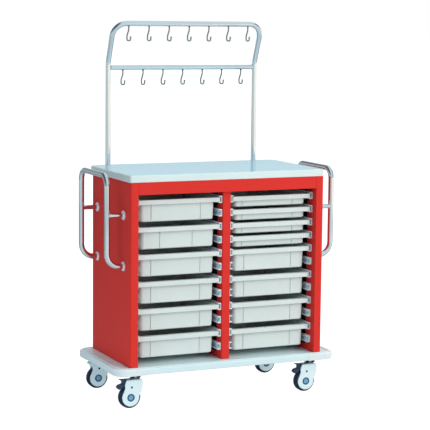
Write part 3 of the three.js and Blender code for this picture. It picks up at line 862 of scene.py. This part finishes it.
def floor_look():
    """White to the camera, and an even grey to bounced light.

    In reflections it is dark behind the cart, grey in front of it and brighter far out to the left and
    the right."""
    behind, before = (0.05, 0.06, 0.07, 1), (0.38, 0.45, 0.47, 1)
    far_left, far_right = (0.5, 0.56, 0.57, 1), (1.0, 0.9, 0.75, 1)
    bounced, seen = (0.2, 0.21, 0.22, 1), (0.95, 0.95, 0.95, 1)
    look = bpy.data.materials.new("pale floor")
    look.use_nodes = True
    tree = look.node_tree
    shader = tree.nodes["Principled BSDF"]
    shader.inputs["Base Color"].default_value = (0.3, 0.31, 0.32, 1)
    shader.inputs["Roughness"].default_value = 0.9
    shader.inputs["Emission Strength"].default_value = 1
    along = axes(tree, "Object")
    glow = mix(tree, ramp(tree, along["Y"], 4, -4, 0, 1), behind, before)
    glow = mix(tree, ramp(tree, along["X"], -6.4, -8, 0, 0.8), glow, far_left)
    glow = mix(tree, ramp(tree, slanted(tree, along, -0.6), 6.6, 8.4, 0, 1), glow, far_right)
    path = tree.nodes.new("ShaderNodeLightPath")
    glow = mix(tree, path.outputs["Is Diffuse Ray"], glow, bounced)
    glow = mix(tree, path.outputs["Is Camera Ray"], glow, seen)
    tree.links.new(glow, shader.inputs["Emission Color"])
    return look


def floor():
    """A wide round floor."""
    bm = bmesh.new()
    loft(bm, [[(x, y, 0) for x, y in circle(radius, 60)] for radius in (1, 3, 9, 30, 90)], end=False)
    bmesh.ops.recalc_face_normals(bm, faces=bm.faces)
    mesh = bpy.data.meshes.new("studio_floor")
    bm.to_mesh(mesh)
    bm.free()
    mesh.materials.append(floor_look())
    piece = bpy.data.objects.new("studio_floor", mesh)
    bpy.context.scene.collection.objects.link(piece)


def lamp(name, place, target, size, power, colour=(1, 1, 1)):
    """An area light that neither the camera nor a reflection sees."""
    data = bpy.data.lights.new(name, "AREA")
    data.shape = "RECTANGLE"
    data.size, data.size_y = size
    data.energy = power
    data.color = colour
    piece = bpy.data.objects.new(name, data)
    piece.location = place
    piece.rotation_euler = (Vector(target) - Vector(place)).to_track_quat("-Z", "Y").to_euler()
    piece.visible_camera = False
    piece.visible_glossy = False
    bpy.context.scene.collection.objects.link(piece)


def world():
    """A surround that is white to the camera.

    Chrome sees a bright strip overhead with dark on either side, and a pale horizon below. All of it
    dims towards the left."""
    strip, dark = (0.7, 0.8, 0.83, 1), (0.1, 0.12, 0.14, 1)
    horizon, dim = (0.55, 0.62, 0.65, 1), (0.1, 0.13, 0.16, 1)
    scene = bpy.context.scene
    scene.world = bpy.data.worlds.new("studio")
    scene.world.use_nodes = True
    tree = scene.world.node_tree
    background = tree.nodes["Background"]
    along = axes(tree, "Generated")
    light = mix(tree, ramp(tree, slanted(tree, along, -0.4), -0.1, -0.35, 0, 1), strip, dark)
    light = mix(tree, ramp(tree, along["X"], 0.65, 0.9, 0, 1), light, dark)
    light = mix(tree, ramp(tree, along["Z"], 0.05, 0.45, 1, 0), light, horizon)
    light = mix(tree, ramp(tree, along["X"], -0.1, -0.9, 0, 0.6), light, dim)
    seen = tree.nodes.new("ShaderNodeLightPath").outputs["Is Camera Ray"]
    light = mix(tree, seen, light, (1, 1, 1, 1))
    tree.links.new(light, background.inputs["Color"])
    background.inputs["Strength"].default_value = 1.0


def camera():
    """The photograph's viewing angle: from the left of the front, a little above the hanger."""
    yaw, pitch, roll = 0.4279, 0.1254, 0.0106
    level = Vector((math.cos(yaw), -math.sin(yaw), 0))
    ahead = Vector((math.sin(yaw), math.cos(yaw), 0))
    forward = ahead * math.cos(pitch) - Vector((0, 0, math.sin(pitch)))
    up = level.cross(forward)
    right = level * math.cos(roll) + up * math.sin(roll)
    above = up * math.cos(roll) - level * math.sin(roll)
    data = bpy.data.cameras.new("camera")
    data.lens = 134.16
    data.clip_end = 100
    piece = bpy.data.objects.new("camera", data)
    piece.matrix_world = Matrix((right, above, -forward)).transposed().to_4x4()
    piece.location = (-3.008, -6.703, 1.7425)
    bpy.context.scene.collection.objects.link(piece)
    bpy.context.scene.camera = piece


def studio():
    floor()
    world()
    lamp("key", (3.0, -4.6, 2.2), (0, 0, 0.8), (2.4, 3.4), 163, (1, 0.97, 0.92))
    lamp("fill", (-4.9, -3.2, 2.1), (0, 0, 0.8), (2.5, 2.5), 50, (0.74, 0.93, 1))
    lamp("low fill", (-1.4, -0.5, 0.13), (-0.5, 0.1, 0.13), (1.0, 0.12), 2.6, (0.85, 0.93, 1))
    lamp("top", (0.3, 0.2, 5), (0, 0, 0.8), (8, 8), 145)
    camera()
    bpy.context.scene.view_settings.view_transform = "Standard"


# ---------------------------------------------------------------- the cart


def cabinet():
    side_panel("left_side_panel", -1)
    side_panel("right_side_panel", 1)
    back_panel()
    centre_divider()
    front_header()
    worktop()
    bay_shade_sheets()


cabinet()
base_plate()
for spot in PLACES:
    bumper(spot)
trays_and_runners()
handle("handle_left", -1)
handle("handle_right", 1)
hanger_and_hooks()
casters()
studio()
